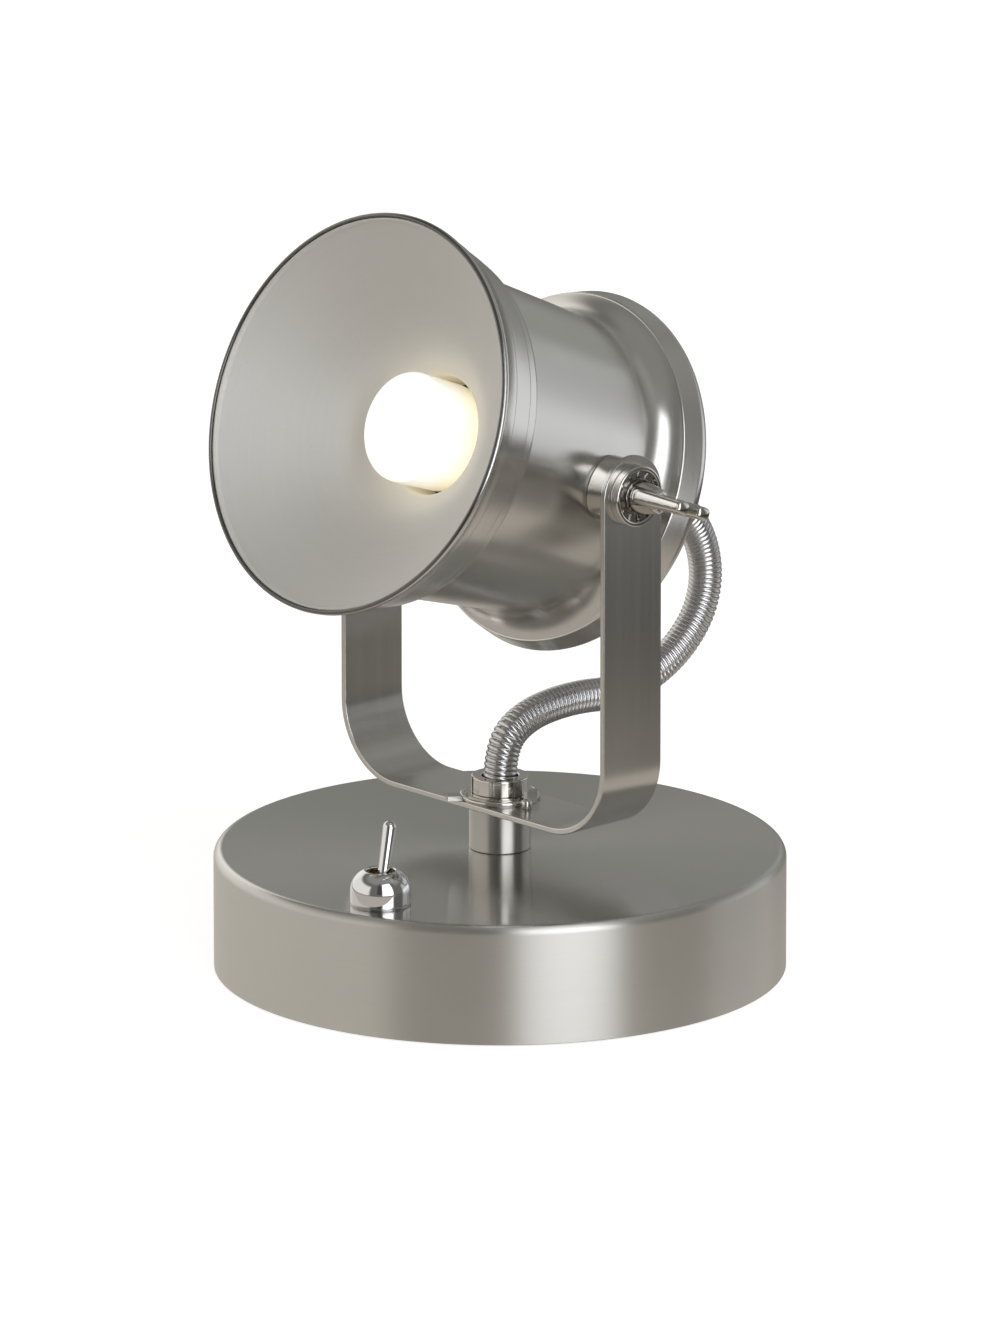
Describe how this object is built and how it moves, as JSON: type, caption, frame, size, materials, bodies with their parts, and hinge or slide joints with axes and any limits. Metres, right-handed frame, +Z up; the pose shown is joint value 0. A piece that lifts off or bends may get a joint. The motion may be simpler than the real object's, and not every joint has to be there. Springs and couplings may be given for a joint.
{
  "type": "tabletop searchlight lamp",
  "caption": "Small desk spotlight: weighted round base with a toggle switch, swivelling strip-metal yoke, and a tilting bell-shaped head held by wing screws.",
  "frame": {"origin": "centre of the base's underside, on the table", "axes": "+Z up along the swivel; the head faces -Y at rest; the trunnion axis runs along X"},
  "size_m": [0.14, 0.1435, 0.1938],
  "materials": {
    "brushed_nickel": "satin brushed nickel plate on steel",
    "reflector_satin": "fine satin nickel, brighter inside the shade",
    "polished_nickel": "polished nickel hardware",
    "chrome": "mirror chrome",
    "hose_steel": "bright spring-steel hose",
    "zinc_steel": "zinc-plated steel",
    "cast_iron": "raw casting, painted black",
    "felt": "black felt",
    "brass": "turned brass",
    "black_plastic": "moulded black plastic",
    "white_plastic": "moulded white plastic",
    "wire_insulation": "smooth insulation",
    "holder_ceramic": "unglazed white porcelain",
    "opal_glass": "opal glass, lit from inside"
  },
  "bodies": {
    "base": {"base_shell": "brushed_nickel", "bottom_plate": "zinc_steel", "foot_pad": "felt", "ballast": "cast_iron", "bottom_screws": "zinc_steel", "inlet_grommet": "black_plastic", "terminal_block": "white_plastic", "terminal_screws": "zinc_steel", "earth_tag": "zinc_steel", "earth_screw": "zinc_steel", "base_wires": "wire_insulation", "stem": "brushed_nickel", "stem_nipple": "zinc_steel", "stem_washer": "zinc_steel", "stem_nut": "zinc_steel", "stop_washer": "polished_nickel", "collar_washer": "polished_nickel", "collar_nut": "polished_nickel", "switch_body": "black_plastic", "switch_bushing": "brass", "switch_nut": "brass", "switch_dome": "chrome", "switch_pin": "zinc_steel", "switch_terminals": "brass"},
    "yoke": {"yoke": "brushed_nickel", "stop_pin": "polished_nickel", "cup_washer_left": "polished_nickel", "cup_washer_right": "polished_nickel", "tooth_washer_left": "zinc_steel", "tooth_washer_right": "zinc_steel", "hose": "hose_steel"},
    "head": {"body_shell": "brushed_nickel", "reflector": "reflector_satin", "rear_cover": "brushed_nickel", "boss_left": "polished_nickel", "boss_right": "polished_nickel", "boss_nuts": "zinc_steel", "holder_strap": "zinc_steel", "holder_nipple": "zinc_steel", "strap_nut": "zinc_steel", "lamp_holder": "holder_ceramic", "holder_sleeve": "brass", "holder_contact": "brass", "bulb_cap": "brass", "bulb_glass": "opal_glass", "rear_nut": "polished_nickel", "hose_gland": "polished_nickel"},
    "wing_left": {"wing_screw_left": "polished_nickel"},
    "wing_right": {"wing_screw_right": "polished_nickel"},
    "lever": {"switch_lever": "chrome"}
  },
  "joints": [
    {"name": "yoke_swivel", "type": "hinge", "parent": "base", "child": "yoke", "pos_m": [0, 0, 0.042], "axis": [0, 0, 1], "range_deg": [-95, 230]},
    {"name": "head_tilt", "type": "hinge", "parent": "yoke", "child": "head", "pos_m": [0, 0, 0.1281], "axis": [-1, 0, 0], "range_deg": [-40, 45], "deforming": ["hose"]},
    {"name": "wing_turn_right", "type": "hinge", "parent": "head", "child": "wing_right", "pos_m": [0.05, 0, 0.1281], "axis": [1, 0, 0], "range_deg": [0, 360]},
    {"name": "wing_turn_left", "type": "hinge", "parent": "head", "child": "wing_left", "pos_m": [-0.05, 0, 0.1281], "axis": [-1, 0, 0], "range_deg": [0, 360]},
    {"name": "switch_throw", "type": "hinge", "parent": "base", "child": "lever", "pos_m": [0.01639, -0.0548, 0.0326], "axis": [0.9581, 0.2865, 0], "range_deg": [0, 30]}
  ]
}
